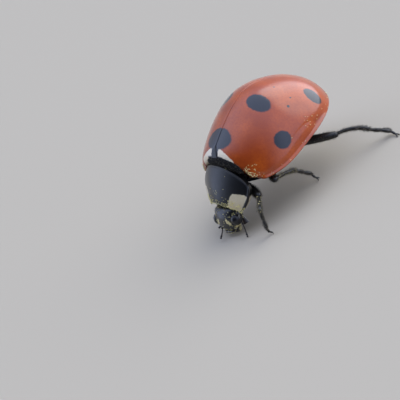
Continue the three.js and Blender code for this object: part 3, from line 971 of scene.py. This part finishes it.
feeler_paths = {
    "left": ((0.66, -0.06, 0.0), (0.77, -0.3, 0.07), (0.9, -0.53, 0.18), (1.06, -0.74, 0.32)),
    "right": ((0.44, -0.16, 0.34), (0.4, -0.36, 0.38), (0.32, -0.48, 0.56), (0.22, -0.58, 0.78)),
}
palp_paths = {
    "left": ((0.44, -0.14, -0.16), (0.54, 0.04, -0.18), (0.63, 0.03, -0.16), (0.76, -0.35, -0.12)),
    "right": ((0.42, -0.24, 0.0), (0.6, -0.26, 0.02), (0.76, -0.32, 0.1), (0.88, -0.42, 0.2)),
}
feeler_club = [(0.08, 0.04), (0.09, 0.052), (0.11, 0.046)]
feeler_joints = [(0.22, 0.07), (0.14, 0.055)] + [(0.07, 0.03)] * 6 + feeler_club
palp_joints = [(0.09, 0.05), (0.1, 0.06), (0.06, 0.06)]


def feeler(name, side):
    """Two stout joints, six slender ones and a small club of three."""
    return lofted(*beads(np.array(feeler_paths[name]) * (side, 1, 1), feeler_joints))


def palp(name, side):
    """Three small joints and a last one shaped like a hatchet, broad at its cut-off end."""
    path = np.array(palp_paths[name]) * (side, 1, 1)
    share = np.linspace(0, 1, 40)
    half = (0.03 + 0.11 * share**1.2) * np.sqrt(1 - np.clip((share - 0.9) / 0.101, 0, 1) ** 4)
    blade = path[2] + (path[3] - path[2]) * share[:, None]
    hatchet = Limb(blade, half, flat=0.4, side=(side * 0.81, 0.33, 0.48))
    return lofted(*beads(path[:3], palp_joints), hatchet.grid(28))


head_grid = head_capsule_grid()
make_piece("head_capsule", lofted(head_grid), head_chitin, ["head"], in_head)
make_piece("upper_lip", lofted(upper_lip().grid(28)), mouth_horn, ["labrum"], in_head)
for name, side in sides.items():
    make_piece(f"compound_eye_{name}", compound_eye(side), eye_lenses, [f"eye_{name}"], in_head)
    make_piece(f"jaw_{name}", mandible(side), jaw_horn, [f"mandible_{name}"], in_head)
    make_piece(f"feeler_{name}", feeler(name, side), mouth_horn, [f"antenna_{name}"], in_head)
    make_piece(f"palp_{name}", palp(name, side), mouth_horn, [f"maxillary_palp_{name}"], in_head)


# Legs. In the tables x is counted outward on each side.

# Start and end of the coxa in each pair.
leg_roots = {
    "front": ((0.46, -0.08, -0.36), (0.68, 0.1, -0.42)),
    "middle": ((0.6, 1.2, -0.16), (0.88, 1.12, -0.36)),
    "hind": ((0.66, 2.5, -0.16), (0.97, 2.58, -0.36)),
}

# Knee, ankle and bend of each leg, and its foot, which lies on the floor.
leg_joints = {
    "front_left": ((1.7, -0.34, -0.4), (2.39, -1.04, -0.53), (2.29, -1.235, -1.38), front_foot),
    "front_right": ((1.46, -0.14, -0.5), (1.18, -0.62, -1.1), (1.12, -0.86, -1.5), (1.08, -0.92)),
    "middle_left": ((2.1, 0.51, -0.28), (1.785, 1.69, -0.93), (1.8, 2.19, -1.59), (1.91, 2.37)),
    "middle_right": ((2.2, 0.7, -0.3), (2.1, 1.5, -0.9), (2.3, 1.85, -1.55), (2.4, 1.95)),
    "hind_left": ((2.36, 3.93, -0.95), (3.24, 4.9, -1.53), (3.66, 5.43, -2.05), (4.13, 5.5)),
    "hind_right": ((2.2, 3.8, -0.8), (2.9, 4.55, -1.5), (3.3, 5.0, -2.0), (3.55, 5.05)),
}


def on_floor(x, y):
    """The point of the floor under a foot, in the beetle's own frame."""
    level = Matrix.Rotation(body_pitch, 4, "X")
    return np.array(level.inverted() @ Vector((x, y * math.cos(body_pitch), -body_lift)))


def leg_points(name):
    """Coxa, hip, knee, ankle, bend and foot of one leg."""
    pair, side_name = name.split("_")
    side = sides[side_name]
    *joints, (x, y) = leg_roots[pair] + leg_joints[name]
    return [np.array(joint) * (side, 1, 1) for joint in joints] + [on_floor(side * x, y)]


def jointed_rod(a, b, profile, **shape):
    """A rod that reaches a little past both its joints, so that the limb has no gaps."""
    way = unit(b - a)
    return rounded_rod(a - way * 0.8 * profile[0][1], b + way * 0.8 * profile[-1][1], profile, **shape)


def leg_limbs(name):
    """The joints of one leg as rods, each a list, in order from the body."""
    coxa, hip, knee, ankle, bend, foot = leg_points(name)
    pair = name.split("_")[0]
    thigh = {"front": 0.18, "middle": 0.175, "hind": 0.19}[pair]
    arch = {"front": (0, 0, 0), "middle": (0, 0.05, 0.06), "hind": (0, 0.1, 0.11)}[pair]
    root = coxa + (coxa - hip) * 0.35
    femur = [(0, 0.7 * thigh), (0.3, thigh), (0.8, thigh), (1, 0.7 * thigh)]
    tibia = [(0, 0.055), (0.15, 0.07), (0.6, 0.08), (0.93, 0.09), (1, 0.06)]
    return {
        "coxa": [jointed_rod(root, hip, [(0, 0.2), (0.5, 0.24), (1, 0.16)])],
        "femur": [jointed_rod(hip, knee, femur, flat=0.85)],
        "tibia": [jointed_rod(knee, ankle, tibia, bow=arch)],
        "tarsus": foot_joints(ankle, bend),
        "claws": claw_limbs(ankle, bend, foot),
    }


def foot_joints(ankle, bend):
    """A long first joint, then the broad second one, which is split into two lobes."""
    way = unit(bend - ankle)
    aside = unit(np.cross(way, (0, 0, 1)))
    middle = ankle + (bend - ankle) * 0.5
    limbs = [jointed_rod(ankle, middle, [(0, 0.05), (0.75, 0.08), (1, 0.055)], rings=28)]
    for turn in (-1, 1):
        lobe = bend + aside * turn * 0.045 + way * 0.03
        profile = [(0, 0.045), (0.65, 0.078), (1, 0.04)]
        limbs.append(jointed_rod(middle, lobe, profile, bow=aside * turn * 0.03, rings=28))
    return limbs


def claw_limbs(ankle, bend, foot):
    """The slender last joint and its two hooked claws, whose tips rest on the floor."""
    down = np.array([0, -math.sin(body_pitch), -math.cos(body_pitch)])
    ahead = unit(foot - bend - down * np.dot(foot - bend, down))
    aside = np.cross(ahead, down)
    start = bend + (ankle - bend) * 0.3
    middle = bend + (foot - bend) * 0.62
    bow = (bend - (start + middle) / 2) * 0.6
    last_joint = [(0, 0.03), (0.6, 0.045), (0.9, 0.055), (1, 0.04)]
    limbs = [rounded_rod(start, middle, last_joint, bow=bow, rings=36)]
    for turn in (-1, 1):
        tip = foot + aside * turn * 0.1 + ahead * 0.05 - down * 0.012
        bow = ahead * 0.05 - down * 0.02
        limbs.append(rounded_rod(middle, tip, [(0, 0.035), (0.5, 0.028), (1, 0.008)], bow=bow, rings=24))
    return limbs


legs = {name: leg_limbs(name) for name in leg_joints}
for name, parts in legs.items():
    pair, side_name = name.split("_")
    for joint, limbs in parts.items():
        node_name = f"{pair}_{joint}_{side_name}"
        form = lofted(*(limb.grid() for limb in limbs))
        make_piece(f"{name}_{joint}", form, leg_chitin, [node_name])


# Bristles and pollen

# Joint, name of its bristles, first seed, count, length, half thickness and lean.
leg_bristles = (
    ("femur", "femur", 0, 260, 0.09, 0.005, 0.9),
    ("tibia", "tibia", 10, 420, 0.11, 0.005, 1.1),
    ("tarsus", "foot", 20, 420, 0.08, 0.0045, 1.2),
)
for number, (name, parts) in enumerate(legs.items()):
    for joint, word, seed, count, length, half, lean in leg_bristles:
        grids = [limb.grid() for limb in parts[joint]]
        bristles(f"{name}_{word}_bristles", grids, count, length, half, seed + number, lean, slot="limb")

lip_grid = upper_lip().grid()
bristles("head_bristles", [head_grid], 420, 0.07, 0.004, 30, 1.0, slot="cuticle", place=in_head)
bristles("lip_bristles", [lip_grid], 120, 0.09, 0.004, 31, 0.3, slot="cuticle", place=in_head)
bristles("collar_bristles", [collar_grid], 500, 0.06, 0.004, 33, 0.2, slot="cuticle")
bristles("belly_bristles", [belly_grid()], 1100, 0.09, 0.005, 32, 1.2, slot="cuticle")

for seed, (name, (skin, t, f)) in enumerate(case_skins.items(), 50):
    shoulder_dust = hump(f, 0.9, 0.045) * np.exp(-t / 0.018)
    margin_dust = 0.02 * hump(f, 0.955, 0.02) * hump(t, 0.56, 0.13) + 0.02 * (f > 0.975)
    dust(f"wing_case_{name}_pollen", skin, 120, seed, shoulder_dust + margin_dust)
s = np.linspace(0, 1, 120)[:, None]
f = np.linspace(-1, 1, 161)[None, :]
front_dust = np.exp(-(1 - s) / 0.045) + 0.05 * np.exp(-(1 - s) / 0.25)
corner_dust = 0.35 * (np.abs(f) > 0.5) * (s > 0.78)
dust("shield_pollen", shield_point(f, s, 0.0), 400, 41, front_dust + corner_dust, place=in_shield)
face = np.linspace(0, 1, len(head_grid))[:, None]
from_eyes = [np.linalg.norm(head_grid * (side, 1, 1) - eye_centre, axis=-1) for side in (1, -1)]
eye_ring_dust = hump(np.minimum(*from_eyes), 0.3, 0.03)
face_dust = 0.06 + 0.7 * np.exp(-face / 0.12) + eye_ring_dust + 0.5 * (face > 0.75)
dust("head_pollen", head_grid, 230, 42, face_dust, place=in_head)
dust("lip_pollen", lip_grid, 50, 47, place=in_head)
for seed, name in enumerate(("front_left", "middle_left", "front_right", "middle_right"), 43):
    dust(f"{name}_pollen", legs[name]["tibia"][0].grid(), 40, seed)


# Setting: floor, sky and camera


# Half width of the floor, in metres.
floor_half = 1.5


def pale_floor():
    """A matt sheet of light card, far larger than the beetle."""
    mesh = bpy.data.meshes.new("pale_floor")
    corners = [(x * floor_half, y * floor_half, 0) for x, y in ((-1, -1), (1, -1), (1, 1), (-1, 1))]
    mesh.from_pydata(corners, [], [(0, 1, 2, 3)])
    card, *_ = new_finish("pale_card")
    mesh.materials.append(coloured(card, tone("#B2A897"), Roughness=0.9, IOR=1.45))
    floor = bpy.data.objects.new("pale_floor", mesh)
    bpy.context.scene.collection.objects.link(floor)


def bearing(azimuth, elevation):
    """A unit direction: azimuth 0 is ahead of the beetle, towards -Y, and 90 is its left."""
    a = math.radians(azimuth)
    e = math.radians(elevation)
    return Vector((math.sin(a) * math.cos(e), -math.cos(a) * math.cos(e), math.sin(e)))


# The sky is even but for a few regions. Each has a bearing and height, the nearness at which it
# starts and the nearness at which it is even, as cosines, and its light.
even_sky = (1.15, 1.35, 1.9, 1)
sky_regions = (
    ((25, 12), (0.25, 0.82), (0.06, 0.07, 0.09, 1)),
    ((-118, 5), (0.55, 0.95), (0.4, 0.42, 0.5, 1)),
    ((166, 24), (0.7, 0.88), (3.0, 3.15, 3.5, 1)),
    ((192, 46), (0.94, 0.99), (3.5, 3.8, 4.1, 1)),
)


def soft_sky():
    """A cool overcast: dark ahead of the beetle, dim to its right and brightest behind it."""
    world = bpy.data.worlds.new("soft_sky")
    world.use_nodes = True
    tree = world.node_tree
    tree.nodes.clear()
    way = node(tree, "TexCoord", output="Generated")
    light = even_sky
    for middle, (start, even), region_light in sky_regions:
        aim = {0: way, 1: tuple(bearing(*middle))}
        near = node(tree, "VectorMath", aim, "Value", operation="DOT_PRODUCT")
        share = node(tree, "MapRange", {0: near, 1: start, 2: even}, interpolation_type="SMOOTHSTEP")
        light = node(tree, "Mix", {0: share, 6: light, 7: region_light}, 2, data_type="RGBA")
    glow = node(tree, "Background", {"Color": light, "Strength": 1.0})
    node(tree, "OutputWorld", {"Surface": glow})
    bpy.context.scene.world = world


view_bearing = 62.934
view_elevation = 26.933
view_roll = math.radians(-36.064)
view_distance = 150
view_width = 16.724
view_target = Vector((0, 2.2, 1.2))
target_right = 2.09
target_up = 3.232


def camera():
    """A long lens from the beetle's left front, rolled so that the beetle runs across the frame."""
    outward = bearing(view_bearing, view_elevation)
    level = bearing(view_bearing + 90, 0)
    upright = outward.cross(level)
    right = level * math.cos(view_roll) + upright * math.sin(view_roll)
    up = upright * math.cos(view_roll) - level * math.sin(view_roll)
    eye = view_target + outward * view_distance
    aim = view_target - right * target_right - up * target_up
    back = (eye - aim).normalized()
    right = (right - back * right.dot(back)).normalized()
    up = back.cross(right)
    turned = Matrix((right, up, back)).transposed()
    lens = bpy.data.cameras.new("camera")
    lens.sensor_width = 36
    lens.lens = lens.sensor_width * view_distance / view_width
    lens.clip_start = 0.01
    lens.clip_end = 10
    holder = bpy.data.objects.new("camera", lens)
    bpy.context.scene.collection.objects.link(holder)
    place = beetle @ Matrix.LocRotScale(eye, turned, None)
    holder.matrix_world = Matrix.LocRotScale(*place.decompose()[:2], None)
    bpy.context.scene.camera = holder


pale_floor()
soft_sky()
camera()
bpy.context.scene.view_settings.view_transform = "Standard"
